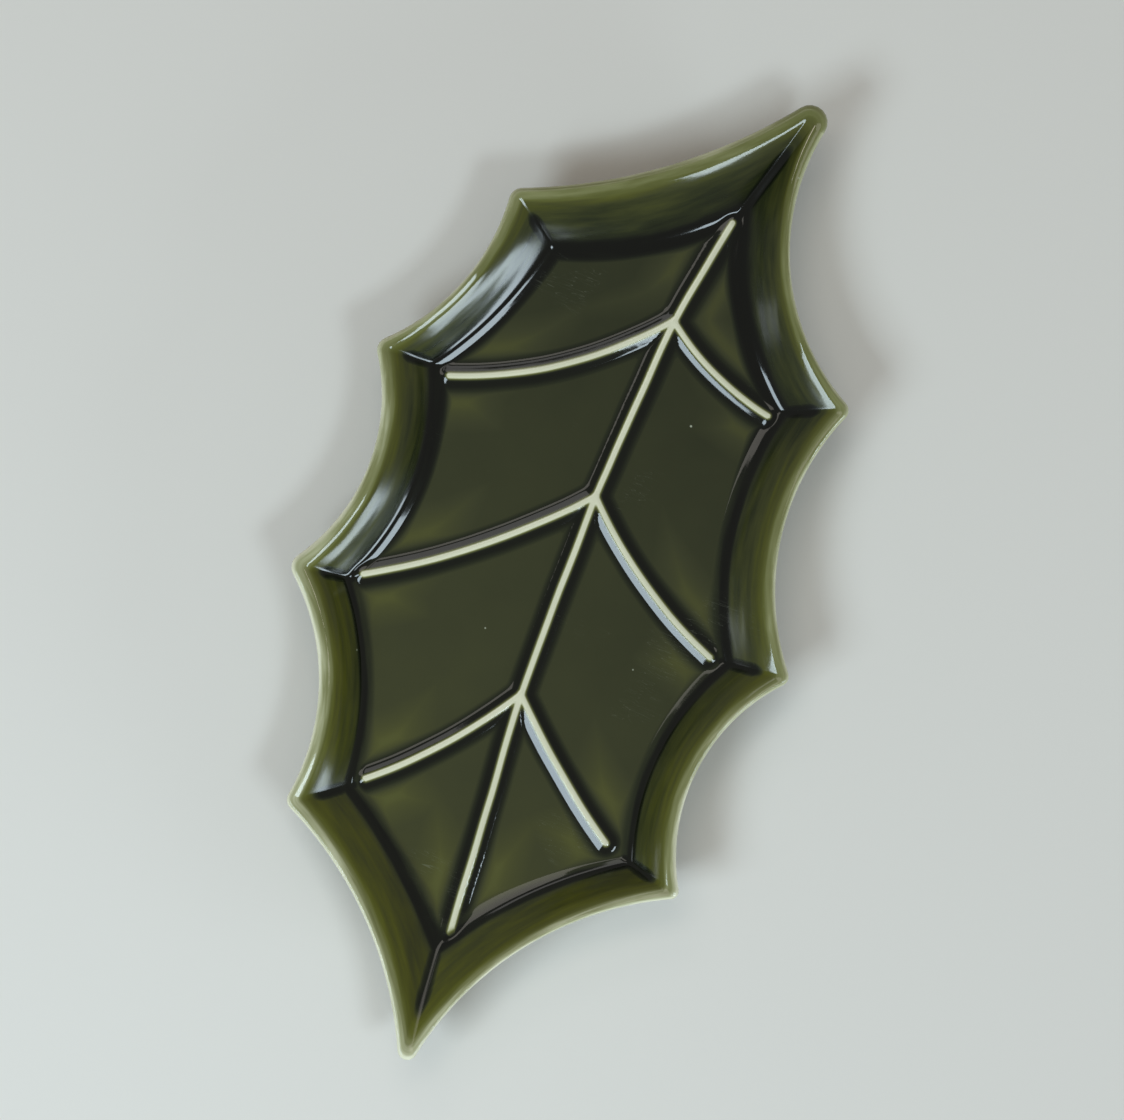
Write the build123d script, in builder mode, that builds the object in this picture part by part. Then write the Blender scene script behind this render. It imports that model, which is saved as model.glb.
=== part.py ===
from build123d import *
import math
import os

# A dish in the shape of a holly leaf: a moulded clay body and the glaze fired onto it.
# Lengths are in millimetres. +Y runs along the leaf to its blunt tip and +Z is up.
# z = 0 is the ground foot, and x = y = 0 is the middle of the leaf's length and width.

# Overall size, over the glaze
leaf_length = 250.0
leaf_width = 122.6
dish_height = 15.6

# Rim. The tips are listed anticlockwise seen from above, from the blunt one.
# Side i is hollow and runs from tip i to the next one.
tip_x_shares = [0.107, -0.372, -0.500, -0.482, -0.306, 0.103, 0.470, 0.500, 0.395]
tip_y_shares = [0.500, 0.315, 0.128, -0.102, -0.316, -0.500, -0.253, -0.016, 0.249]
tip_radii = [4.3, 3.4, 3.3, 3.6, 2.9, 2.4, 2.0, 2.4, 2.6]
side_radii = [135.0, 53.0, 47.0, 55.0, 93.0, 80.0, 46.5, 61.0, 55.0]
lip_side_radii = [125.0, 63.0, 53.0, 59.5, 104.5, 87.5, 51.5, 66.0, 62.0]
lip_depth = 2.8
lip_outer_round = 1.6

# Wall, which climbs steeply out of a cove at the floor line and eases over into the lip. Its
# shares say how far out and how high it has come at each step, and a crease runs down it
# from every tip.
wall_out_shares = [-0.22, 0.0, 0.1, 0.36, 0.73, 1.0, 1.06]
wall_up_shares = [0.0, 0.08, 0.2, 0.47, 0.785, 0.967, 1.007]
crease_radius = 0.8
crease_insets = [0.9, 0.9, 1.1, 1.4, 1.4, 2.5, 2.8, 2.0, 1.8]
wall_run = 11.0
crease_x_shares = [-0.59, 1.01, 1.02, 0.96, 0.93, -0.31, -1.13, -1.21, -1.15]
crease_y_shares = [-2.37, -0.64, 0.13, 0.16, 0.71, 2.42, 0.20, -0.19, -0.49]
floor_side_radii = [86.0, 100.0, 61.5, 80.0, 146.0, 113.0, 63.5, 82.0, 73.5]
floor_level = 5.8

# Veins. The midrib runs from the blunt end to the long one and bends at three forks. Each
# fork carries a branch to the left and then one to the right.
midrib_x_shares = [0.044, 0.014, 0.010, 0.029, 0.088]
midrib_y_shares = [0.367, 0.258, 0.071, -0.134, -0.372]
midrib_bend = 150.0
branch_x_shares = [-0.351, 0.260, -0.351, 0.344, -0.187, 0.301]
branch_y_shares = [0.122, 0.209, -0.088, -0.029, -0.269, -0.234]
branch_bow_shares = [0.070, -0.062, 0.039, -0.050, 0.038, -0.024]
vein_bed = 0.08
branch_drop = 0.12
vein_glaze_half_width = 3.2
vein_glaze_height = 1.4
vein_glaze_crest = 1.3
vein_clay_half_width = 2.1
vein_clay_height = 1.5
vein_clay_crest = 0.9

# A vein's section reaches this far below the floor, so that the two join
vein_root = 1.0

# Foot ring, ground bare so that it did not stick to the kiln shelf
foot_height = 1.6
foot_outset = 1.2
foot_width = 3.8
foot_tip_radius = 4.4

# Glaze
glaze_skin = 0.5
base_glaze_depth = 0.4
base_glaze_margin = 0.8

tip_count = len(tip_radii)


def towards(start, end):
    """Unit vector from one point to another."""
    return (end - start).normalized()


def arc_centre(start, end, start_radius, end_radius):
    """Centre on the right of start to end, at those distances from them."""
    span = (end - start).length
    along = towards(start, end)
    reach = (span**2 + start_radius**2 - end_radius**2) / (2 * span)
    rise = math.sqrt(start_radius**2 - reach**2)
    return start + along * reach + Vector(along.Y, -along.X) * rise


def arc_about(centre, start, end):
    """Draw the short arc from start to end about a centre."""
    radius = (start - centre).length
    ThreePointArc(start, centre + towards(centre, (start + end) / 2) * radius, end)


def side_centres(points, radii, rounds):
    """Centres of the hollow sides, which touch circles of those rounds at the points."""
    ring = list(zip(points, radii, rounds))
    return [
        arc_centre(here, there, radius + near, radius + far)
        for (here, radius, near), (there, _, far) in zip(ring, ring[1:] + ring[:1])
    ]


def leaf_outline(points, radii, rounds, grow):
    """Leaf with rounded tips about the points, its whole edge moved outwards by grow."""
    centres = side_centres(points, radii, rounds)
    with BuildSketch() as outline:
        with BuildLine():
            for i, point in enumerate(points):
                tip_radius = rounds[i] + grow
                last, centre, following = centres[i - 1], centres[i], points[(i + 1) % tip_count]
                start = point + towards(point, last) * tip_radius
                end = point + towards(point, centre) * tip_radius
                crown = point + towards(point, (start + end) / 2) * tip_radius
                ThreePointArc(start, crown, end)
                reach = radii[i] - grow
                arc_about(centre, end, centre + towards(centre, following) * reach)
        make_face()
    return outline.sketch


def ridge_section(plane, half_width, height, crest):
    """Half of a ridge that rises from the plane's x axis in a straight flank and a round crest."""
    crest_centre = Vector(0, height - crest)
    flank_foot = Vector(half_width, 0)
    lean = math.acos(crest / (flank_foot - crest_centre).length)
    to_flank = towards(crest_centre, flank_foot).rotate(Axis.Z, math.degrees(lean))
    meet = crest_centre + to_flank * crest
    with BuildSketch(plane) as section:
        with BuildLine():
            arc_about(crest_centre, Vector(0, height), meet)
            Polyline(
                meet, flank_foot, (half_width, -vein_root), (0, -vein_root), (0, height)
            )
        make_face()
    return section.sketch


def vein(line, rounded_ends, sizes):
    """A ridge along a line. Its rounded ends are 0 for the start and 1 for the far end."""
    with BuildPart() as ridge:
        for end in rounded_ends:
            outward = (line % end) * (2 * end - 1)
            side = (outward.Y, -outward.X)
            half = ridge_section(Plane(line @ end, side, -outward), *sizes)
            revolve(half, axis=Axis(line @ end, (0, 0, 1)), revolution_arc=180)
        section = half + mirror(half, about=Plane(line @ end, z_dir=side))
        sweep(section, path=line)
    return ridge.part


# Tip centres, so that the rounded tips reach the overall length and width
top, left, bottom, right = tip_radii[0], tip_radii[2], tip_radii[5], tip_radii[7]
x_span = leaf_width - left - right
y_span = leaf_length - top - bottom
x_middle = (left - right) / 2
y_middle = (bottom - top) / 2
tips = [
    Vector(x * x_span + x_middle, y * y_span + y_middle)
    for x, y in zip(tip_x_shares, tip_y_shares)
]
floor_corners = [
    tip + Vector(x, y) * wall_run
    for tip, x, y in zip(tips, crease_x_shares, crease_y_shares)
]
lip_corners = [
    tip + towards(tip, corner) * inset
    for tip, corner, inset in zip(tips, floor_corners, crease_insets)
]
foot_rounds = [foot_tip_radius] * tip_count
crease_rounds = [crease_radius] * tip_count
band_level = dish_height - lip_depth

midrib, branch_ends = [
    [Vector(x * leaf_width, y * leaf_length) for x, y in zip(x_shares, y_shares)]
    for x_shares, y_shares in (
        (midrib_x_shares, midrib_y_shares),
        (branch_x_shares, branch_y_shares),
    )
]
forks = midrib[1:-1]


def veins(level, sizes):
    """The midrib and its branches, set a little into the floor."""
    bed = Vector(0, 0, level - vein_bed)
    with BuildPart() as raised:
        with BuildLine() as midrib_line:
            FilletPolyline(*[point + bed for point in midrib], radius=midrib_bend)
        add(vein(midrib_line.line, (0, 1), sizes))
        for i, (tip, bow) in enumerate(zip(branch_ends, branch_bow_shares)):
            fork = forks[i // 2]
            across = Vector(fork.Y - tip.Y, tip.X - fork.X)
            branch_bed = bed - Vector(0, 0, branch_drop)
            points = (fork, (fork + tip) / 2 + across * bow, tip)
            with BuildLine() as branch_line:
                ThreePointArc(*[point + branch_bed for point in points])
            add(vein(branch_line.line, (1,), sizes))
    return raised.part


def foot_inside(margin):
    """The leaf inside the foot ring, less a margin."""
    grow = foot_outset - foot_width - margin
    return leaf_outline(floor_corners, floor_side_radii, foot_rounds, grow)


def outside(skin):
    """The outside of the dish above its foot ring, moved inwards by skin."""
    foot_grow = foot_outset + glaze_skin - skin
    with BuildPart() as block:
        with BuildSketch(Plane.XY.offset(foot_height)):
            add(leaf_outline(floor_corners, floor_side_radii, foot_rounds, foot_grow))
        with BuildSketch(Plane.XY.offset(band_level)) as rim:
            add(leaf_outline(tips, side_radii, tip_radii, -skin))
        loft(ruled=True)
        add(rim.sketch)
        extrude(amount=lip_depth - skin)
        fillet(block.faces().sort_by(Axis.Z)[-1].edges(), lip_outer_round - skin)
    return block.part


def hollow(skin):
    """The hollow of the dish, moved outwards by skin."""
    rise = dish_height - floor_level
    with BuildPart() as space:
        for out, up in zip(wall_out_shares, wall_up_shares):
            corners = [low + (high - low) * out for low, high in zip(floor_corners, lip_corners)]
            radii = [
                low + (high - low) * out for low, high in zip(floor_side_radii, lip_side_radii)
            ]
            with BuildSketch(Plane.XY.offset(floor_level - skin + rise * up)):
                add(leaf_outline(corners, radii, crease_rounds, skin))
        loft()
    return space.part


clay_ridge = (vein_clay_half_width, vein_clay_height, vein_clay_crest)
glaze_ridge = (vein_glaze_half_width, vein_glaze_height, vein_glaze_crest)

# Clay body: the dish without its glaze, with crisp veins, standing on its foot ring
with BuildPart() as bisque_body:
    add(outside(glaze_skin))
    with BuildSketch(Plane.XY):
        add(leaf_outline(floor_corners, floor_side_radii, foot_rounds, foot_outset))
    extrude(amount=foot_height)
    add(hollow(glaze_skin), mode=Mode.SUBTRACT)
    add(veins(floor_level - glaze_skin, clay_ridge))
    with BuildSketch(Plane.XY):
        add(foot_inside(0))
    extrude(amount=foot_height, mode=Mode.SUBTRACT)
bisque_body.part.label = "bisque_body"

# Glaze coat: one skin over the inside, the lip and the outside down to the foot ring,
# drawn thin over the vein crests and pooled in the angles beside them
with BuildPart() as glaze_coat:
    add(outside(0))
    add(hollow(0), mode=Mode.SUBTRACT)
    add(veins(floor_level, glaze_ridge))
    add(bisque_body.part, mode=Mode.SUBTRACT)
glaze_coat.part.label = "glaze_coat"

# Glaze under the base, wiped back from the foot ring
with BuildPart() as base_glaze:
    with BuildSketch(Plane.XY.offset(foot_height)):
        add(foot_inside(base_glaze_margin))
    extrude(amount=-base_glaze_depth)
base_glaze.part.label = "base_glaze"

os.makedirs("parts", exist_ok=True)
for piece in (bisque_body, glaze_coat, base_glaze):
    export_step(piece.part, f"parts/{piece.part.label}.step")
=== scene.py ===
import math
import bpy
import numpy as np
from mathutils import Matrix, Vector
from mathutils.geometry import delaunay_2d_cdt


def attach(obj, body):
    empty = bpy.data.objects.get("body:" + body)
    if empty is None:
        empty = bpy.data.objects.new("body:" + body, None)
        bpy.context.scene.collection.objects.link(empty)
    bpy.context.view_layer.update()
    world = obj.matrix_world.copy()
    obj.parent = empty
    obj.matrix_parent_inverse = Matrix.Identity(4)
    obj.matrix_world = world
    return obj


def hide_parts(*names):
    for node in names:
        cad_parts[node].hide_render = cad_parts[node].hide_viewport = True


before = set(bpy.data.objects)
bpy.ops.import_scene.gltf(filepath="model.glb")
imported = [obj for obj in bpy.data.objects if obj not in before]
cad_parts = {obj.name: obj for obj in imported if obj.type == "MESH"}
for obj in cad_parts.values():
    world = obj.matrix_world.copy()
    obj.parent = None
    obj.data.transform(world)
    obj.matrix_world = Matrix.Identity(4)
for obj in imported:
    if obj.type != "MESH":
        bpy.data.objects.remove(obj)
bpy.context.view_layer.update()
print("frame loaded:", sorted(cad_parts))

mm = 0.001

# The leaf, in millimetres. Tips run anticlockwise from the blunt one, and the radii are those
# of the hollow sides that follow them.
leaf = {
    "tips": [
        (12.96, 120.7), (-43.04, 75.7), (-58.0, 30.2), (-55.9, -25.8), (-35.3, -77.8),
        (12.5, -122.6), (55.4, -62.5), (58.9, -4.8), (46.6, 59.6),
    ],
    "tipRounds": [4.3, 3.4, 3.3, 3.6, 2.9, 2.4, 2.0, 2.4, 2.6],
    "rimRadii": [135.0, 53.0, 47.0, 55.0, 93.0, 80.0, 46.5, 61.0, 55.0],
    "lipRadii": [125.0, 63.0, 53.0, 59.5, 104.5, 87.5, 51.5, 66.0, 62.0],
    "floorRadii": [86.0, 100.0, 61.5, 80.0, 146.0, 113.0, 63.5, 82.0, 73.5],
    "creaseRun": [  # from each tip to its corner of the floor
        (-6.5, -26.1), (11.1, -7.0), (11.2, 1.4), (10.6, 1.8), (10.2, 7.8),
        (-3.4, 26.6), (-12.4, 2.2), (-13.3, -2.1), (-12.7, -5.4),
    ],
    "creaseRound": 1.1,
    "lipInsets": [0.9, 0.9, 1.1, 1.4, 1.4, 2.5, 2.8, 2.0, 1.8],
    "wallRun": 11.0,  # floor line to lip line
    "lipRun": 3.4,  # lip line to rim
    "wall": [  # its section: how far out from the floor line, and how high
        (-3.5, 5.8), (-3.1, 5.81), (-2.7, 5.9), (-1.6, 6.29), (-0.8, 6.62), (0.0, 7.06),
        (0.8, 7.64), (1.6, 8.27), (2.4, 8.92), (3.5, 9.84), (5.0, 11.08), (6.5, 12.22),
        (8.0, 13.24), (9.6, 14.2), (10.3, 14.57), (10.9, 14.85), (11.4, 15.06), (11.9, 15.23),
        (12.4, 15.38), (12.85, 15.5), (13.2, 15.54), (13.75, 15.24), (14.25, 14.55),
        (14.4, 13.7), (14.4, 12.8),
    ],
    "floorLevel": 5.8,
    "footLevel": 1.6,
    "footOutset": 1.7,
    "footRound": 4.4,
    "underTurn": [(0.5, 0.0), (0.9, 0.5)],  # inset and rise, where the outside turns under
}

# How finely the leaf is meshed, with lengths in millimetres
meshing = {
    "columnsPerSide": 62,
    "columnsPerTip": 8,
    "crowding": 0.08,  # draws the columns of a side towards its ends
    "wallRows": 80,
    "outsideRows": 9,
    "outsideMeasure": 20.0,  # acrossWall runs on by this much down the outside
    "underMeasure": 24.0,  # and by this much under the foot
    "floorSpacing": 0.62,
    "edgeClearance": 0.6,  # part of that spacing left free beside an edge
    "besideVein": [0, 0.3, 0.6, 0.9, 1.2, 1.55, 1.9, 2.3, 2.75, 3.25, 3.8],
    "alongVein": 0.7,
    "veinEdgeClearance": 0.5,
    "nearerBy": 0.12,  # a point belongs to a vein that is nearer than the others by this
    "slack": 0.1,  # and may lie this far past the last row
    "leastGap": 0.2,
}


def lengthOf(v):
    return np.hypot(v[..., 0], v[..., 1])


def towards(a, b):
    d = b - a
    return d / lengthOf(d)


def distanceAlong(line):
    return np.concatenate([[0], np.cumsum(lengthOf(np.diff(line, axis=0)))])


def arcPoints(centre, start, finish, shares):
    # the short way round
    a, b = start - centre, finish - centre
    first = math.atan2(a[1], a[0])
    turn = (math.atan2(b[1], b[0]) - first + math.pi) % (2 * math.pi) - math.pi
    angle = first + turn * shares
    return centre + lengthOf(a) * np.stack([np.cos(angle), np.sin(angle)], axis=1)


def leafOutline(corners, radii, rounds, grow):
    # rounded tips joined by hollow sides, the whole edge moved outwards by grow
    count = len(corners)
    centres = []
    for i in range(count):
        near, far = radii[i] + rounds[i], radii[i] + rounds[(i + 1) % count]
        here, there = corners[i], corners[(i + 1) % count]
        span = lengthOf(there - here)
        along = towards(here, there)
        reach = (span**2 + near**2 - far**2) / (2 * span)
        rise = math.sqrt(near**2 - reach**2)
        centres.append(here + along * reach + np.array([along[1], -along[0]]) * rise)
    even = np.arange(meshing["columnsPerSide"]) / meshing["columnsPerSide"]
    sideShares = even - np.sin(2 * math.pi * even) * meshing["crowding"]
    tipShares = np.arange(meshing["columnsPerTip"]) / meshing["columnsPerTip"]
    out = []
    for i, corner in enumerate(corners):
        tipRound = rounds[i] + grow
        start = corner + towards(corner, centres[i - 1]) * tipRound
        finish = corner + towards(corner, centres[i]) * tipRound
        out.append(arcPoints(corner, start, finish, tipShares))
        following = corners[(i + 1) % count]
        end = centres[i] + towards(centres[i], following) * (radii[i] - grow)
        out.append(arcPoints(centres[i], finish, end, sideShares))
    return np.concatenate(out)


def smoothThrough(knots, values, where):
    # natural cubic curve through the values
    count, gap = len(knots), np.diff(knots)
    left = np.eye(count)
    right = np.zeros(count)
    slopes = np.diff(values) / gap
    for i in range(1, count - 1):
        left[i, i - 1:i + 2] = gap[i - 1], 2 * (gap[i - 1] + gap[i]), gap[i]
        right[i] = 6 * (slopes[i] - slopes[i - 1])
    bend = np.linalg.solve(left, right)
    i = np.clip(np.searchsorted(knots, where) - 1, 0, count - 2)
    past, ahead = where - knots[i], knots[i + 1] - where
    curved = (bend[i] * ahead**3 + bend[i + 1] * past**3) / (6 * gap[i])
    straight = (values[i] * ahead + values[i + 1] * past) / gap[i]
    return curved + straight - gap[i] / 6 * (bend[i] * ahead + bend[i + 1] * past)


tips = np.array(leaf["tips"])
floorCorners = tips + np.array(leaf["creaseRun"])
lipCorners = np.array([
    tip + towards(tip, low) * inset
    for tip, low, inset in zip(tips, floorCorners, leaf["lipInsets"])
])
floorRadii, lipRadii = np.array(leaf["floorRadii"]), np.array(leaf["lipRadii"])
creaseRounds = [leaf["creaseRound"]] * len(tips)
footRounds = [leaf["footRound"]] * len(tips)


def wallOutline(share):
    # the hollow's edge, 0 at the floor line and 1 at the lip line
    corners = floorCorners + (lipCorners - floorCorners) * share
    return leafOutline(corners, floorRadii + (lipRadii - floorRadii) * share, creaseRounds, 0)


def footOutline(inset):
    return leafOutline(floorCorners, floorRadii, footRounds, leaf["footOutset"] - inset)


def leafRows():
    # rings of points from the floor up over the lip, down the outside and under the foot,
    # each with its height and its measure across the wall
    points = np.array(leaf["wall"])
    knots = distanceAlong(points)
    where = np.linspace(0, knots[-1], meshing["wallRows"])
    outs = smoothThrough(knots, points[:, 0], where)
    ups = smoothThrough(knots, points[:, 1], where)
    rim = leafOutline(tips, leaf["rimRadii"], leaf["tipRounds"], 0)
    lip, foot = wallOutline(1), footOutline(0)
    rows = []
    for out, up in zip(outs, ups):
        if out < leaf["wallRun"]:
            ring = wallOutline(out / leaf["wallRun"])
        else:
            ring = lip + (rim - lip) * min((out - leaf["wallRun"]) / leaf["lipRun"], 1)
        rows.append((ring, up, out))
    edgeOut, edgeUp = points[-1]
    for share in np.linspace(0, 1, meshing["outsideRows"] + 1)[1:]:
        up = edgeUp + (leaf["footLevel"] - edgeUp) * share
        rows.append((rim + (foot - rim) * share, up, edgeOut + share * meshing["outsideMeasure"]))
    for inset, rise in leaf["underTurn"]:
        up = leaf["footLevel"] + rise
        rows.append((footOutline(inset), up, edgeOut + meshing["underMeasure"]))
    return rows


def nearestDistance(points, others, batch=2000):
    # from each point to the nearest of the others, in batches to spare memory
    out = np.empty(len(points))
    for first in range(0, len(points), batch):
        gaps = points[first:first + batch, None, :] - others[None, :, :]
        out[first:first + batch] = np.sqrt((gaps**2).sum(axis=2).min(axis=1))
    return out


def insideRing(points, ring):
    inside = np.zeros(len(points), bool)
    for a, b in zip(ring, np.roll(ring, -1, axis=0)):
        crosses = (a[1] > points[:, 1]) != (b[1] > points[:, 1])
        if a[1] != b[1]:
            cut = a[0] + (points[:, 1] - a[1]) / (b[1] - a[1]) * (b[0] - a[0])
            inside ^= crosses & (points[:, 0] < cut)
    return inside


def insideGrid(ring):
    # evenly spaced points inside a ring, in rows of triangles, clear of its edge
    spacing = meshing["floorSpacing"]
    clear = spacing * meshing["edgeClearance"]
    low, high = ring.min(axis=0), ring.max(axis=0)
    nextRing = np.roll(ring, -1, axis=0)
    found = []
    for k, y in enumerate(np.arange(low[1], high[1], spacing * math.sqrt(3) / 2)):
        crosses = (ring[:, 1] > y) != (nextRing[:, 1] > y)
        a, b = ring[crosses], nextRing[crosses]
        cuts = np.sort(a[:, 0] + (y - a[:, 1]) / (b[:, 1] - a[:, 1]) * (b[:, 0] - a[:, 0]))
        xs = np.arange(low[0] + (k % 2) * spacing / 2, high[0], spacing)
        for first, last in zip(cuts[::2], cuts[1::2]):
            kept = xs[(xs > first + clear) & (xs < last - clear)]
            found.append(np.stack([kept, np.full(len(kept), y)], axis=1))
    found = np.concatenate(found)
    return found[nearestDistance(found, ring) > clear]


def besideLine(line):
    # points in rows along both sides of a vein's line and round its ends
    offsets, step = np.array(meshing["besideVein"]), meshing["alongVein"]
    measured = distanceAlong(line)
    where = np.arange(0, measured[-1], step)
    middle = np.stack([np.interp(where, measured, line[:, k]) for k in (0, 1)], axis=1)
    along = np.gradient(middle, axis=0)
    along /= lengthOf(along)[:, None]
    sideways = np.stack([-along[:, 1], along[:, 0]], axis=1)
    rows = [middle + sideways * off for off in np.concatenate([-offsets[:0:-1], offsets])]
    for end, way in ((middle[0], -along[0]), (middle[-1], along[-1])):
        side = np.array([-way[1], way[0]])
        for off in offsets[1:]:
            count = max(2, int(math.pi * off / step))
            turn = np.linspace(-math.pi / 2, math.pi / 2, count + 2)[1:-1, None]
            rows.append(end + off * (way * np.cos(turn) + side * np.sin(turn)))
    return middle, np.concatenate(rows)


def besideVeins(ring, lines):
    # the rows beside every vein, so that its flanks come out smooth
    reach = meshing["besideVein"][-1] + meshing["slack"]
    found = []
    for number, line in enumerate(lines):
        others = np.concatenate([other for k, other in enumerate(lines) if k != number])
        middle, points = besideLine(line)
        own, theirs = nearestDistance(points, middle), nearestDistance(points, others)
        found.append(points[(own < theirs - meshing["nearerBy"]) & (own < reach)])
    found = np.concatenate(found)
    found = found[insideRing(found, ring)]
    clear = meshing["floorSpacing"] * meshing["veinEdgeClearance"]
    found = found[nearestDistance(found, ring) > clear]
    rounded = np.round(found / meshing["leastGap"])
    _, kept = np.unique(rounded, axis=0, return_index=True)
    return found[np.sort(kept)]


def triangulated(ring, inside):
    # triangles on the ring's points and then the inside points
    coords = [Vector(p) for p in np.concatenate([ring, inside])]
    count = len(ring)
    edges = [(i, (i + 1) % count) for i in range(count)]
    onlyInside, tolerance = 1, 1e-7
    _, _, faces, sources, _, _ = delaunay_2d_cdt(coords, edges, [], onlyInside, tolerance)
    return [tuple(sources[i][0] for i in face) for face in faces]


def floorPoints(ring):
    # closer together beside the veins
    lines = veinLines()
    clear = meshing["besideVein"][-1] + meshing["floorSpacing"] * meshing["edgeClearance"]
    loose = insideGrid(ring)
    loose = loose[nearestDistance(loose, np.concatenate(lines)) > clear]
    return np.concatenate([besideVeins(ring, lines), loose])


def leafMesh():
    # the wall and the outside
    rows = leafRows()
    floorRing, underRing = rows[0][0], rows[-1][0]
    columns = len(floorRing)
    verts = [np.column_stack([ring, np.full(columns, up)]) for ring, up, _ in rows]
    across = [np.full(columns, out) for _, _, out in rows]
    lastRow = columns * (len(rows) - 1)
    faces = []
    for low in range(0, lastRow, columns):
        for c in range(columns):
            d = (c + 1) % columns
            faces.append((low + c, low + columns + c, low + columns + d, low + d))

    # the floor
    inside = floorPoints(floorRing)
    for face in triangulated(floorRing, inside):
        faces.append(tuple(i if i < columns else i + lastRow for i in face))
    verts.append(np.column_stack([inside, np.full(len(inside), leaf["floorLevel"])]))
    across.append(np.full(len(inside), leaf["wall"][0][0]))

    # the underside, which closes the shell
    for face in triangulated(underRing, np.zeros((0, 2))):
        faces.append(tuple(lastRow + i for i in reversed(face)))

    mesh = bpy.data.meshes.new("glazed_leaf")
    mesh.from_pydata(np.concatenate(verts) * mm, [], faces)
    alongLip = distanceAlong(wallOutline(1))
    around = np.concatenate([np.tile(alongLip, len(rows)), np.zeros(len(inside))])
    for name, values in (("acrossWall", np.concatenate(across)), ("aroundWall", around)):
        mesh.attributes.new(name, "FLOAT", "POINT")
        mesh.attributes[name].data.foreach_set("value", values.astype(np.float32))
    mesh.polygons.foreach_set("use_smooth", [True] * len(mesh.polygons))
    mesh.update()
    return mesh


# Veins, in millimetres: the midrib's bends, and each branch's fork, bow and end
veins = {
    "midrib": [(5.4, 91.75), (1.7, 64.5), (1.2, 17.75), (3.6, -33.5), (10.8, -93.0)],
    "midribBend": 150.0,
    "branches": [
        (1, 0.070, (-43.0, 30.5)), (1, -0.062, (31.9, 52.3)),
        (2, 0.039, (-43.0, -22.0)), (2, -0.050, (42.2, -7.3)),
        (3, 0.038, (-22.9, -67.3)), (3, -0.024, (36.9, -58.5)),
    ],
    "bendPoints": 12,
    "branchPoints": 60,
    "height": 1.36,
    "flankSlope": 0.49,
    "crestRound": 0.6,
    "footBlend": 0.65,
    "forkBlend": 0.5,
    "wander": 0.3,
    "wanderNoise": (45.0, 1.0),  # scale and detail
    "fadeOut": (-2.8, 1.2),  # where across the wall the veins die away
}


def midribLine():
    # straight runs joined by arcs, each arc a string of points
    bends = np.array(veins["midrib"])
    out = [bends[:1]]
    for before, bend, after in zip(bends, bends[1:], bends[2:]):
        back, ahead = towards(bend, before), towards(bend, after)
        half = math.acos(np.clip(-back @ ahead, -1, 1)) / 2
        reach = veins["midribBend"] * math.tan(half)
        middle = towards(np.zeros(2), back + ahead)
        centre = bend + middle * veins["midribBend"] / math.cos(half)
        shares = np.linspace(0, 1, veins["bendPoints"])
        out.append(arcPoints(centre, bend + back * reach, bend + ahead * reach, shares))
    out.append(bends[-1:])
    return np.concatenate(out)


def bowedLine(start, end, bow):
    # an arc through a point to the side of the middle
    d = end - start
    side = np.array([-d[1], d[0]])
    radius = lengthOf(d) * (bow**2 + 0.25) / (2 * abs(bow))
    centre = (start + end) / 2 + side * bow - math.copysign(1, bow) * side / lengthOf(d) * radius
    return arcPoints(centre, start, end, np.linspace(0, 1, veins["branchPoints"]))


def veinLines():
    lines = [midribLine()]
    for fork, bow, end in veins["branches"]:
        lines.append(bowedLine(np.array(veins["midrib"][fork]), np.array(end), bow))
    return lines


def newObject(name, data):
    made = bpy.data.objects.new(name, data)
    bpy.context.collection.objects.link(made)
    return made


def guideObject(name, lines, closed=False):
    # flat guide lines that the node tree measures from, numbered line by line
    verts, edges, numbers = [], [], []
    for number, line in enumerate(lines):
        first = len(verts)
        verts += [(x * mm, y * mm, 0) for x, y in line]
        edges += [(first + i, first + i + 1) for i in range(len(line) - 1)]
        if closed:
            edges.append((first + len(line) - 1, first))
        numbers += [number] * len(line)
    mesh = bpy.data.meshes.new(name)
    mesh.from_pydata(verts, edges, [])
    mesh.attributes.new("lineNumber", "INT", "POINT")
    mesh.attributes["lineNumber"].data.foreach_set("value", numbers)
    return newObject(name, mesh)


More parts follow.
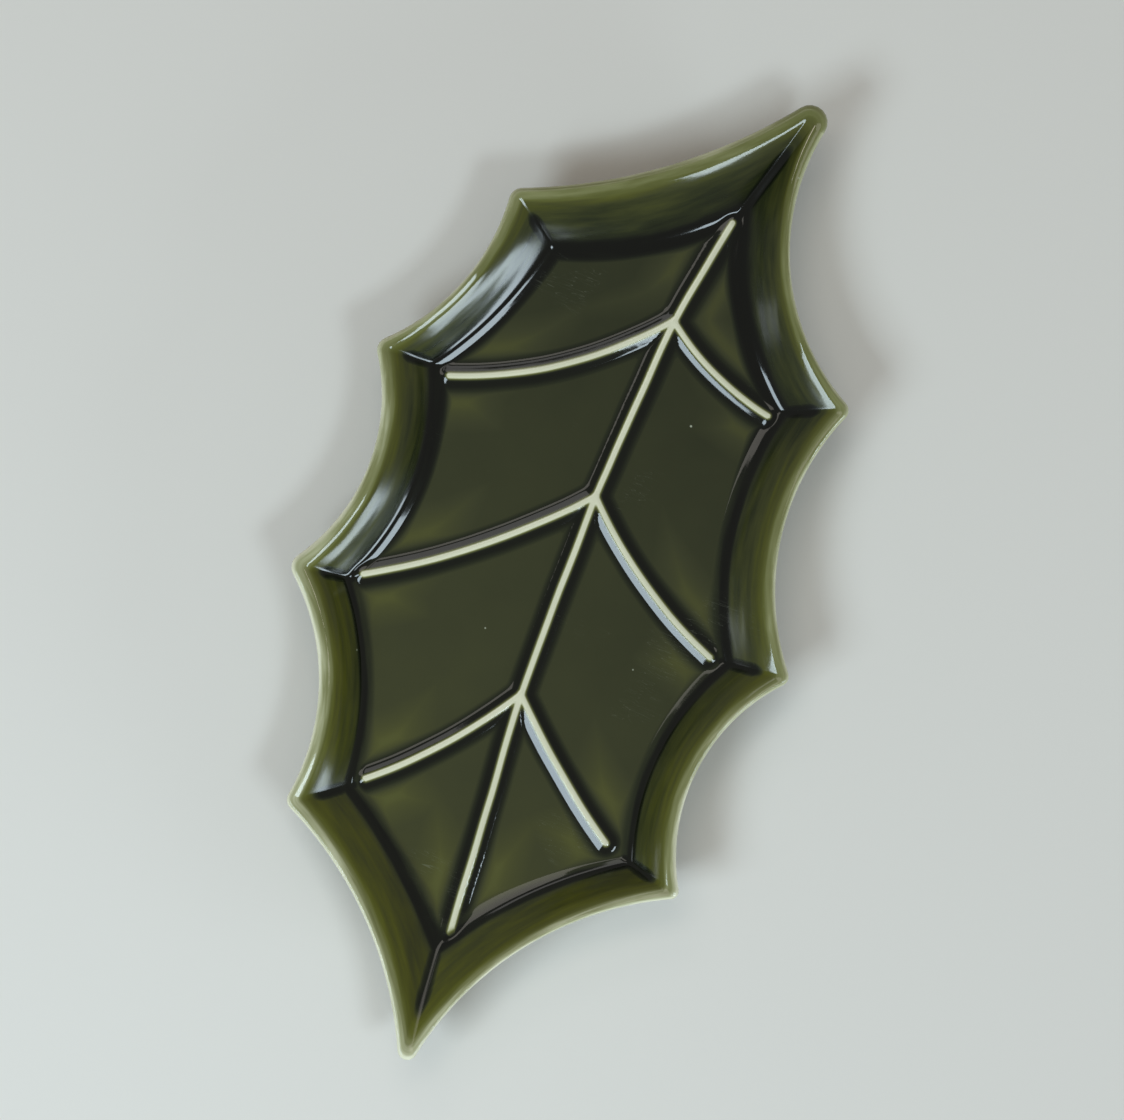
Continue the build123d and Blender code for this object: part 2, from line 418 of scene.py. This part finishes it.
class NodeBench:
    # short ways to add and link nodes in one tree
    def __init__(self, tree):
        self.tree = tree

    def add(self, kind, inputs=None, **settings):
        node = self.tree.nodes.new(kind)
        for key, value in settings.items():
            setattr(node, key, value)
        for key, value in (inputs or {}).items():
            self.feed(node.inputs[key], value)
        return node

    def feed(self, socket, value):
        if isinstance(value, bpy.types.NodeSocket):
            self.tree.links.new(value, socket)
        elif isinstance(value, bpy.types.Node):
            self.tree.links.new(value.outputs[0], socket)
        else:
            socket.default_value = value

    def math(self, operation, a, b=0.0, c=0.0, clamp=False):
        node = self.add("ShaderNodeMath", operation=operation, use_clamp=clamp)
        for socket, value in zip(node.inputs, (a, b, c)):
            self.feed(socket, value)
        return node.outputs[0]

    def product(self, first, *others):
        for other in others:
            first = self.math("MULTIPLY", first, other)
        return first

    def swing(self, noise, size):
        # a noise from 0 to 1, made to swing about zero
        return self.product(self.math("SUBTRACT", noise, 0.5), size)

    def vector(self, operation, a, b=(0, 0, 0)):
        node = self.add("ShaderNodeVectorMath", operation=operation)
        self.feed(node.inputs[0], a)
        self.feed(node.inputs["Scale" if operation == "SCALE" else 1], b)
        return node.outputs["Value" if operation == "DOT_PRODUCT" else "Vector"]

    def remap(self, value, fromLow, fromHigh, toLow=0.0, toHigh=1.0, soft=True):
        kind = "SMOOTHSTEP" if soft else "LINEAR"
        node = self.add("ShaderNodeMapRange", interpolation_type=kind)
        for socket, given in zip(node.inputs, (value, fromLow, fromHigh, toLow, toHigh)):
            self.feed(socket, given)
        return node.outputs[0]

    def steps(self, value, stops):
        # a number that follows the stops (where, level) in a smooth curve
        low, high = stops[0][0], stops[-1][0]
        share = self.remap(value, low, high, soft=False)
        node = self.add("ShaderNodeFloatCurve", {"Value": share})
        curve = node.mapping.curves[0]
        while len(curve.points) < len(stops):
            curve.points.new(0.5, 0.5)
        for point, (where, level) in zip(curve.points, stops):
            point.location = ((where - low) / (high - low), level)
            point.handle_type = "AUTO_CLAMPED"
        node.mapping.update()
        return node.outputs[0]

    def noise(self, place, scale, detail, output="Fac", **others):
        inputs = {"Vector": place, "Scale": scale, "Detail": detail, **others}
        return self.add("ShaderNodeTexNoise", inputs).outputs[output]

    def drawnOut(self, around, across, settings):
        # noise drawn out along the walls
        aroundScale, acrossScale, detail = settings
        place = self.add("ShaderNodeCombineXYZ", {"X": self.product(around, aroundScale),
                                                  "Y": self.product(across, acrossScale)})
        return self.noise(place, 1.0, detail)

    def mix(self, share, a, b):
        return self.add("ShaderNodeMix", {"Factor": share, "A": a, "B": b}).outputs[0]

    def mixColours(self, share, a, b):
        node = self.add("ShaderNodeMix", {"Factor": share}, data_type="RGBA")
        sockets = {socket.identifier: socket for socket in (*node.inputs, *node.outputs)}
        self.feed(sockets["A_Color"], a)
        self.feed(sockets["B_Color"], b)
        return sockets["Result_Color"]

    def mixShaders(self, share, a, b):
        return self.add("ShaderNodeMixShader", {0: share, 1: a, 2: b})


# Ripples in the glaze: soft on the floor, and drawn out along the walls. Places are in
# millimetres across the wall.
ripples = {
    "height": 0.09,
    "softNoise": (55.0, 1.0),
    "softShare": 0.5,
    "wallNoise": (0.045, 0.24, 1.2),  # scales around and across the wall, and detail
    "risesOnWall": (0.5, 3.0),
    "fallsByLip": (9.0, 12.0, 1.0, 0.25),  # from the first level to the second
    "clearOfCrease": (1.0, 6.0),  # away from a crease
    "rimMiddle": 12.8,  # the rim's crown stays smooth
    "rimHalf": 1.2,
}

# What the node tree's sizes are, in metres but for the slope
treeSizes = {
    "Vein height": veins["height"] * mm,
    "Flank slope": veins["flankSlope"],
    "Crest round": veins["crestRound"] * mm,
    "Foot blend": veins["footBlend"] * mm,
    "Fork blend": veins["forkBlend"] * mm,
    "Hand wander": veins["wander"] * mm,
    "Glaze ripple": ripples["height"] * mm,
}


def distanceTo(bench, lines, probe, number=None):
    # from the probe to the guide lines, or to the one that has the number
    near = bench.add("GeometryNodeProximity", {0: lines, "Sample Position": probe},
                     target_element="EDGES")
    if number is not None:
        own = bench.add("GeometryNodeInputNamedAttribute", {"Name": "lineNumber"},
                        data_type="INT")
        bench.feed(near.inputs["Group ID"], own)
        bench.feed(near.inputs["Sample Group ID"], number)
    return near.outputs["Distance"]


def raisedVeins(bench, given, guides, probe):
    # how high the veins stand, and how far off the nearest one is
    crestSquare = bench.product(given["Crest round"], given["Crest round"])
    raised, nearest = None, None
    for number in range(1 + len(veins["branches"])):
        away = distanceTo(bench, guides, probe, number)
        # a rounded crest, straight flanks and a soft foot
        bent = bench.math("SQRT", bench.math("ADD", bench.product(away, away), crestSquare))
        beyond = bench.math("SUBTRACT", bent, given["Crest round"])
        left = bench.math("SUBTRACT", given["Vein height"],
                          bench.product(beyond, given["Flank slope"]))
        rib = bench.math("SMOOTH_MAX", left, 0.0, given["Foot blend"])
        if raised is None:
            raised, nearest = rib, away
        else:
            raised = bench.math("SMOOTH_MAX", raised, rib, given["Fork blend"])
            nearest = bench.math("SMOOTH_MIN", nearest, away, given["Fork blend"])
    return raised, nearest


def rippleLift(bench, given, place, around, across, crease):
    onWall = bench.product(bench.remap(across, *ripples["risesOnWall"]),
                           bench.remap(across, *ripples["fallsByLip"]),
                           bench.remap(crease, *[end * mm for end in ripples["clearOfCrease"]]))
    streaks = bench.swing(bench.drawnOut(around, across, ripples["wallNoise"]), onWall)
    soft = bench.swing(bench.noise(place, *ripples["softNoise"]), ripples["softShare"])
    atRim = bench.math("COMPARE", across, ripples["rimMiddle"], ripples["rimHalf"])
    share = bench.product(bench.math("ADD", soft, streaks), bench.math("SUBTRACT", 1.0, atRim))
    return bench.product(share, bench.product(given["Glaze ripple"], 2.0))


def nameSockets(tree):
    # the tree's named inputs and its one output
    def socket(name, kind, way="INPUT"):
        return tree.interface.new_socket(name=name, in_out=way, socket_type=kind)

    socket("Geometry", "NodeSocketGeometry")
    for name in ("Vein lines", "Floor line", "Crease lines"):
        socket(name, "NodeSocketObject")
    for name, value in treeSizes.items():
        socket(name, "NodeSocketFloat").default_value = value
    socket("Finish", "NodeSocketMaterial")
    socket("Geometry", "NodeSocketGeometry", "OUTPUT")


def veinedLeafTree():
    # raises the veins from the floor and stores how far each point lies from each line
    tree = bpy.data.node_groups.new("veinedLeaf", "GeometryNodeTree")
    nameSockets(tree)
    bench = NodeBench(tree)
    given = bench.add("NodeGroupInput").outputs
    place = bench.add("GeometryNodeInputPosition").outputs[0]
    flat = bench.vector("MULTIPLY", place, (1, 1, 0))

    def guide(name):
        return bench.add("GeometryNodeObjectInfo", {"Object": given[name]}).outputs["Geometry"]

    def stored(name):
        return bench.add("GeometryNodeInputNamedAttribute", {"Name": name}).outputs[0]

    # a little wander, as in a hand-pressed mould
    drift = bench.noise(flat, *veins["wanderNoise"], output="Color")
    centred = bench.vector("SUBTRACT", drift, (0.5, 0.5, 0.5))
    wander = bench.vector("SCALE", centred, bench.product(given["Hand wander"], 2.0))
    probe = bench.vector("MULTIPLY", bench.vector("ADD", flat, wander), (1, 1, 0))

    across, around = stored("acrossWall"), stored("aroundWall")
    raised, vein = raisedVeins(bench, given, guide("Vein lines"), probe)
    floorLine = distanceTo(bench, guide("Floor line"), probe)
    crease = distanceTo(bench, guide("Crease lines"), probe)
    onFloor = bench.remap(across, *veins["fadeOut"], 1.0, 0.0)
    up = bench.add("ShaderNodeCombineXYZ", {"Z": bench.product(raised, onFloor)})
    normal = bench.add("GeometryNodeInputNormal")
    ripple = bench.vector("SCALE", normal,
                          rippleLift(bench, given, place, around, across, crease))
    geometry = bench.add("GeometryNodeSetPosition", {
        "Geometry": given["Geometry"], "Offset": bench.vector("ADD", up, ripple)})
    for name, value in (("veinDistance", vein), ("floorDistance", floorLine),
                        ("creaseDistance", crease)):
        inMm = bench.math("DIVIDE", value, mm)
        geometry = bench.add("GeometryNodeStoreNamedAttribute",
                             {"Geometry": geometry, "Name": name, "Value": inMm},
                             data_type="FLOAT", domain="POINT")
    geometry = bench.add("GeometryNodeRealizeInstances", {"Geometry": geometry})
    geometry = bench.add("GeometryNodeSetMaterial",
                         {"Geometry": geometry, "Material": given["Finish"]})
    bench.add("NodeGroupOutput", {"Geometry": geometry})
    return tree


def plainMesh(name, mesh, tree, values):
    # runs a tree on a mesh and keeps only what it makes
    piece = newObject(name, mesh)
    modifier = piece.modifiers.new("nodes", "NODES")
    modifier.node_group = tree
    for item in tree.interface.items_tree:
        if item.in_out == "INPUT" and item.name in values:
            modifier[item.identifier] = values[item.name]
    depsgraph = bpy.context.evaluated_depsgraph_get()
    made = bpy.data.meshes.new_from_object(piece.evaluated_get(depsgraph),
                                           preserve_all_data_layers=True, depsgraph=depsgraph)
    piece.modifiers.remove(modifier)
    piece.data = made
    made.name = name
    bpy.data.meshes.remove(mesh)
    return piece


def srgb(r, g, b):
    # a colour as it is seen on a screen, 0 to 255
    def linear(v):
        v = v / 255
        return v / 12.92 if v <= 0.04045 else ((v + 0.055) / 1.055)**2.4
    return (linear(r), linear(g), linear(b), 1.0)


def newMaterial(name):
    material = bpy.data.materials.new(name)
    material.use_nodes = True
    material.node_tree.nodes.clear()
    bench = NodeBench(material.node_tree)
    return material, bench, bench.add("ShaderNodeTexCoord").outputs["Object"]


def colourRamp(bench, value, stops):
    node = bench.add("ShaderNodeValToRGB", {"Fac": value})
    node.color_ramp.interpolation = "LINEAR"
    elements = node.color_ramp.elements
    while len(elements) < len(stops):
        elements.new(1.0)
    for element, (where, _) in zip(elements, stops):
        element.position = where
    for element, (_, colour) in zip(elements, stops):
        element.color = srgb(*colour)
    return node.outputs[0]


def surface(bench, colour, dull, height, bump):
    # the shader, with a fine bump given by its strength and its depth in metres
    strength, depth = bump
    normal = bench.add("ShaderNodeBump", {"Height": height, "Strength": strength,
                                          "Distance": depth})
    return bench.add("ShaderNodeBsdfPrincipled", {"Base Color": colour, "Roughness": dull,
                                                  "Normal": normal})


# The colours go by how thick the glaze lies, from 0 where it has run off to 1 where it has
# pooled. The stops after them give how thick it lies at a distance in millimetres, and a
# noise is given by scale and detail.
oliveGlaze = {
    "colours": [
        (0.0, (226, 224, 196)), (0.1, (182, 182, 145)), (0.2, (132, 133, 89)),
        (0.34, (97, 99, 51)), (0.46, (81, 82, 42)), (0.6, (61, 63, 38)),
        (0.72, (38, 42, 25)), (0.86, (16, 20, 11)), (1.0, (5, 8, 4)),
    ],
    "byVein": [
        (0, 0.8), (1.2, 0.84), (1.9, 0.9), (2.8, 0.84), (3.8, 0.7), (5.2, 0.54), (6.5, 0.48),
        (9.0, 0.55), (14.0, 0.63),
    ],
    "byFloorLine": {
        "wide": [(0, 1.0), (2.0, 0.97), (3.0, 0.84), (4.2, 0.6), (5.6, 0.46), (8.0, 0.47),
                 (12.0, 0.56), (18.0, 0.63)],
        "narrow": [(0, 0.98), (1.0, 0.9), (2.0, 0.74), (3.2, 0.6), (4.5, 0.51), (8.0, 0.47),
                   (12.0, 0.56), (18.0, 0.63)],
    },
    "upWall": {
        "wide": [(-3.2, 0.84), (-1.8, 0.96), (0.0, 0.98), (1.0, 0.84), (2.2, 0.69), (5.0, 0.63),
                 (8.0, 0.57), (9.8, 0.46)],
        "narrow": [(-3.2, 0.6), (-2.0, 0.72), (-1.0, 0.88), (-0.3, 0.98), (0.6, 0.97),
                   (1.2, 0.82), (2.0, 0.64), (5.0, 0.6), (8.0, 0.54), (9.8, 0.44)],
    },
    "overRim": [
        (10.8, 0.32), (11.8, 0.23), (13.1, 0.18), (13.6, 0.11), (14.45, 0.05), (16.0, 0.3),
        (26.0, 0.5), (40.0, 0.5),
    ],
    "byCrease": [(0, 0.98), (0.7, 0.94), (1.3, 0.8), (2.2, 0.45), (3.2, 0.0), (5.0, 0.0)],
    "crest": (0.45, 1.45),  # where a vein's pale crest turns olive
    "crestEnds": (-1.5, 0.3),  # how far up the wall a pale crest may reach
    "wall": (-3.2, -1.2),  # where the floor's glaze gives way to the wall's
    "lip": (6.0, 10.8),  # where the pool in a crease thins out
    "middleOfWall": [(-1.0, 3.0), (8.5, 11.5, 1.0, 0.0)],  # richer in colour and less shiny
    "narrowWay": (0.6, -0.8, 0.0),  # towards the sides where it pools in a narrow line
    "narrowFrom": (-0.022, -0.002),  # in metres that way
    "lean": (0.28, 0.76, 0.0),  # painted shade: how much thicker, and so darker, for each metre
    "leanBesideVein": (1.6, 4.0),
    "clouds": (60.0, 3.0),
    "mottle": 0.06,
    "streakNoise": (0.06, 0.55, 3.0),  # scales around and across the wall, and detail
    "streaks": 0.34,
    "wallRichness": 0.26,
    "cloudRange": (0.35, 0.7),
    "roughness": (0.048, 0.084),
    "wallDullness": 0.1,
    "peel": (420.0, 2.0),
    "bump": (0.012, 0.0006),
}

# Hair scratches and a few pale specks from use
wear = {
    "hairTurn": 0.9,
    "hairStretch": (70.0, 900.0, 1.0),
    "hairBend": 1.4,
    "hairWidth": 0.006,
    "hairStrength": 0.13,
    "wornNoise": (42.0, 2.0),
    "wornFrom": (0.63, 0.71),
    "speckCells": 190.0,
    "speckSize": (0.07, 0.035),
    "speckless": 0.965,  # share of the cells that have none
    "lessOnWall": -0.5,
    "colour": (168, 172, 150),
    "dullness": 0.3,
}


def glazeThickness(bench, spot, stored, onWall):
    across = stored("acrossWall")
    # towards the long tip and the right it ran off the cove and left only a narrow dark line
    narrow = bench.remap(bench.vector("DOT_PRODUCT", spot, oliveGlaze["narrowWay"]),
                         *oliveGlaze["narrowFrom"])

    def pooled(value, stops, after=()):
        wide, thin = [bench.steps(value, [*stops[width], *after]) for width in ("wide", "narrow")]
        return bench.mix(narrow, wide, thin)

    vein = stored("veinDistance")
    onFloor = bench.math("MAXIMUM", bench.steps(vein, oliveGlaze["byVein"]),
                         pooled(stored("floorDistance"), oliveGlaze["byFloorLine"]))
    upWall = pooled(across, oliveGlaze["upWall"], oliveGlaze["overRim"])
    offLip = bench.math("SUBTRACT", 1.0, bench.remap(across, *oliveGlaze["lip"]))
    inCrease = bench.product(bench.steps(stored("creaseDistance"), oliveGlaze["byCrease"]),
                             offLip)
    depth = bench.math("MAXIMUM", bench.mix(onWall, onFloor, upWall), inCrease)
    offCrest = bench.math("MAXIMUM", bench.remap(vein, *oliveGlaze["crest"]),
                          bench.remap(across, *oliveGlaze["crestEnds"]))
    return bench.product(depth, offCrest)


def glazeMottleAndPaintedShade(bench, spot, stored, clouds, onWall):
    # painted shade: a little thicker, and so darker, towards the blunt end, for light that falls
    # off that way
    lean = bench.product(bench.vector("DOT_PRODUCT", spot, oliveGlaze["lean"]),
                         bench.remap(stored("veinDistance"), *oliveGlaze["leanBesideVein"]))
    # the mottle here carries the painted shade as well
    mottle = bench.math("ADD", bench.swing(clouds, oliveGlaze["mottle"]), lean)
    streak = bench.drawnOut(stored("aroundWall"), stored("acrossWall"),
                            oliveGlaze["streakNoise"])
    streaks = bench.product(bench.swing(streak, oliveGlaze["streaks"]), onWall)
    return bench.math("ADD", mottle, streaks)


def wearMarks(bench, spot, onWall):
    drift = bench.add("ShaderNodeMapping", {"Vector": spot, "Scale": wear["hairStretch"],
                                            "Rotation": (0, 0, wear["hairTurn"])})
    hairs = bench.noise(drift, 1.0, 1.0, Distortion=wear["hairBend"])
    hair = bench.math("COMPARE", hairs, 0.5, wear["hairWidth"])
    worn = bench.remap(bench.noise(spot, *wear["wornNoise"]), *wear["wornFrom"])
    cells = bench.add("ShaderNodeTexVoronoi", {"Vector": spot, "Scale": wear["speckCells"]})
    lot = bench.add("ShaderNodeSeparateColor", {"Color": cells.outputs["Color"]}).outputs[0]
    speck = bench.product(bench.remap(cells.outputs["Distance"], *wear["speckSize"]),
                          bench.math("GREATER_THAN", lot, wear["speckless"]))
    either = bench.math("MAXIMUM", bench.product(hair, worn, wear["hairStrength"]), speck)
    return bench.product(either, bench.math("MULTIPLY_ADD", onWall, wear["lessOnWall"], 1.0))


def oliveGlazeMaterial():
    material, bench, spot = newMaterial("oliveGlaze")

    def stored(name):
        return bench.add("ShaderNodeAttribute", attribute_name=name).outputs["Fac"]

    across = stored("acrossWall")
    clouds = bench.noise(spot, *oliveGlaze["clouds"])
    onWall = bench.remap(across, *oliveGlaze["wall"])
    midWall = bench.product(*[bench.remap(across, *ends) for ends in oliveGlaze["middleOfWall"]])
    depth = bench.math("ADD", glazeThickness(bench, spot, stored, onWall),
                       glazeMottleAndPaintedShade(bench, spot, stored, clouds, onWall), clamp=True)
    rich = bench.math("MULTIPLY_ADD", midWall, oliveGlaze["wallRichness"], 1.0)
    colour = bench.add("ShaderNodeHueSaturation", {
        "Saturation": rich, "Color": colourRamp(bench, depth, oliveGlaze["colours"])})
    marks = wearMarks(bench, spot, onWall)
    marked = bench.mixColours(marks, colour, srgb(*wear["colour"]))
    dull = bench.remap(clouds, *oliveGlaze["cloudRange"], *oliveGlaze["roughness"])
    dull = bench.math("ADD", dull, bench.product(marks, wear["dullness"]))
    dull = bench.math("MULTIPLY_ADD", midWall, oliveGlaze["wallDullness"], dull)
    shader = surface(bench, marked, dull, bench.noise(spot, *oliveGlaze["peel"]),
                     oliveGlaze["bump"])
    bench.add("ShaderNodeOutputMaterial", {"Surface": shader})
    return material


# The patch of glaze inside the foot ring
baseGlaze = {
    "clouds": (38.0, 4.0),
    "cloudRange": (0.3, 0.7),
    "thickness": (0.53, 0.66),
    "roughness": (0.12, 0.22),
    "peel": (160.0, 3.0),
    "bump": (0.08, 0.001),
}


def baseGlazeMaterial():
    material, bench, spot = newMaterial("baseGlaze")
    clouds = bench.noise(spot, *baseGlaze["clouds"])
    depth = bench.remap(clouds, *baseGlaze["cloudRange"], *baseGlaze["thickness"])
    dull = bench.remap(clouds, *baseGlaze["cloudRange"], *baseGlaze["roughness"])
    shader = surface(bench, colourRamp(bench, depth, oliveGlaze["colours"]), dull,
                     bench.noise(spot, *baseGlaze["peel"]), baseGlaze["bump"])
    bench.add("ShaderNodeOutputMaterial", {"Surface": shader})
    return material


# The unglazed foot
bareClay = {
    "colours": [(0.25, (196, 178, 148)), (0.5, (222, 209, 183)), (0.75, (236, 227, 206))],
    "clouds": (55.0, 5.0),
    "cloudShare": 0.7,
    "cloudRange": (0.3, 0.7),
    "grain": (1400.0, 2.0),
    "grainShare": 0.3,
    "roughness": (0.72, 0.9),
    "bump": (0.25, 0.0004),
}


def bareClayMaterial():
    material, bench, spot = newMaterial("bareClay")
    clouds, grain = bench.noise(spot, *bareClay["clouds"]), bench.noise(spot, *bareClay["grain"])
    tone = bench.math("ADD", bench.product(clouds, bareClay["cloudShare"]),
                      bench.product(grain, bareClay["grainShare"]))
    dull = bench.remap(clouds, *bareClay["cloudRange"], *bareClay["roughness"])
    shader = surface(bench, colourRamp(bench, tone, bareClay["colours"]), dull, grain,
                     bareClay["bump"])
    bench.add("ShaderNodeOutputMaterial", {"Surface": shader})
    return material


guides = {
    "Vein lines": guideObject("veinGuide", veinLines()),
    "Floor line": guideObject("floorGuide", [wallOutline(0)], closed=True),
    "Crease lines": guideObject("creaseGuide", list(zip(floorCorners, lipCorners))),
}
glazedLeaf = plainMesh("glazed_leaf", leafMesh(), veinedLeafTree(),
                       {**guides, **treeSizes, "Finish": oliveGlazeMaterial()})
for guide in guides.values():
    bpy.data.objects.remove(guide)
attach(glazedLeaf, "root")
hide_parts("glaze_coat")
print("glazed leaf:", len(glazedLeaf.data.polygons), "faces")

for node, finish in (("bisque_body", bareClayMaterial()), ("base_glaze", baseGlazeMaterial())):
    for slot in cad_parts[node].material_slots:
        slot.material = finish
print("clay and base glaze finished")

# Picture's up and right, where the camera stands and what it looks at, in the leaf's own
# directions and in millimetres
view = {
    "up": (-0.3966, 0.9180),
    "right": (0.9180, 0.3966),
    "above": (3.28, -8.81, 848.4),
    "aim": (-0.09, 0.2, 15.6),
    "frameWidth": 269.9,
    "sensor": 36.0,
}


def photoCamera():
    data = bpy.data.cameras.new("photoCamera")
    camera = newObject("photoCamera", data)
    place, aim = Vector(view["above"]) * mm, Vector(view["aim"]) * mm
    back = (place - aim).normalized()
    right = Vector((*view["up"], 0)).cross(back).normalized()
    turn = Matrix((right, back.cross(right), back)).transposed()
    camera.matrix_world = Matrix.Translation(place) @ turn.to_4x4()
    data.sensor_fit = "HORIZONTAL"
    data.sensor_width = view["sensor"]
    data.lens = view["sensor"] * (place - aim).length / (view["frameWidth"] * mm)
    bpy.context.scene.camera = camera


# The studio's floor, in metres
palePaper = {
    "reach": 4.0,
    "colour": (226, 222, 215),
    "roughness": 0.9,
    "tooth": (300.0, 3.0),
    "bump": (0.05, 0.0005),
}


def studioFloor():
    reach = palePaper["reach"]
    mesh = bpy.data.meshes.new("studioFloor")
    mesh.from_pydata([(-reach, -reach, 0), (reach, -reach, 0), (reach, reach, 0),
                      (-reach, reach, 0)], [], [(0, 1, 2, 3)])
    floor = newObject("studioFloor", mesh)
    material, bench, spot = newMaterial("palePaper")
    paper = surface(bench, srgb(*palePaper["colour"]), palePaper["roughness"],
                    bench.noise(spot, *palePaper["tooth"]), palePaper["bump"])
    # clear from below, so that the base shows
    under = bench.add("ShaderNodeNewGeometry").outputs["Backfacing"]
    sheet = bench.mixShaders(under, paper, bench.add("ShaderNodeBsdfTransparent"))
    bench.add("ShaderNodeOutputMaterial", {"Surface": sheet})
    mesh.materials.append(material)


# Softboxes: bearing in the picture (0 right, 90 up), height above the floor in degrees,
# distance, width and height in metres, and how bright the panel looks
softboxes = {
    "lowRight": {"bearing": -39, "elevation": 9, "distance": 2.6, "size": (1.2, 0.52),
                 "glow": 11.0, "colour": (0.76, 0.91, 1.0)},
    "highRight": {"bearing": -46, "elevation": 50, "distance": 1.3, "size": (0.46, 0.23),
                  "glow": 11.5, "colour": (0.76, 0.91, 1.0)},
    "leftFront": {"bearing": 216, "elevation": 41, "distance": 1.0, "size": (0.5, 0.32),
                  "glow": 11.0, "colour": (0.74, 0.9, 1.0)},
    "farLeft": {"bearing": 187, "elevation": 9, "distance": 1.3, "size": (0.2, 0.1),
                "glow": 2.2, "colour": (0.85, 0.95, 1.0)},
    "nearSide": {"bearing": -84, "elevation": 11, "distance": 1.3, "size": (0.4, 0.1),
                 "glow": 3.0, "colour": (0.8, 0.92, 1.0)},
    "upperSide": {"bearing": 112, "elevation": 63, "distance": 1.5, "size": (1.1, 0.4),
                  "glow": 1.7, "colour": (1.0, 0.95, 0.86)},
    "behind": {"bearing": 107, "elevation": 41, "distance": 1.5, "size": (0.75, 0.26),
               "glow": 1.3, "colour": (1.0, 0.98, 0.96)},
}
softboxAim = Vector((0, 0, 0.01))


def softbox(name, bearing, elevation, distance, size, glow, colour):
    light = bpy.data.lights.new(name, "AREA")
    light.shape = "RECTANGLE"
    light.size, light.size_y = size
    light.color = colour
    light.energy = glow * math.pi * size[0] * size[1]  # a larger panel looks no brighter
    lamp = newObject(name, light)
    a, e = math.radians(bearing), math.radians(elevation)
    level = Vector((*view["right"], 0)) * math.cos(a) + Vector((*view["up"], 0)) * math.sin(a)
    out = level * math.cos(e) + Vector((0, 0, math.sin(e)))
    lamp.location = out * distance + softboxAim
    lamp.rotation_euler = out.to_track_quat("Z", "Y").to_euler()


room = {
    "colour": (1.0, 0.97, 0.92, 1.0),
    "strength": 0.24,
    "backdrop": (232, 230, 226),
}


def roomLight():
    world = bpy.data.worlds.new("room")
    bpy.context.scene.world = world
    world.use_nodes = True
    world.node_tree.nodes.clear()
    bench = NodeBench(world.node_tree)
    seen = bench.add("ShaderNodeLightPath").outputs["Is Camera Ray"]
    dim = bench.add("ShaderNodeBackground", {"Color": room["colour"],
                                             "Strength": room["strength"]})
    pale = bench.add("ShaderNodeBackground", {"Color": srgb(*room["backdrop"]), "Strength": 1.0})
    bench.add("ShaderNodeOutputWorld", {"Surface": bench.mixShaders(seen, dim, pale)})


photoCamera()
studioFloor()
for name, box in softboxes.items():
    softbox(name, **box)
roomLight()
bpy.context.scene.view_settings.view_transform = "Standard"
print("stage set")
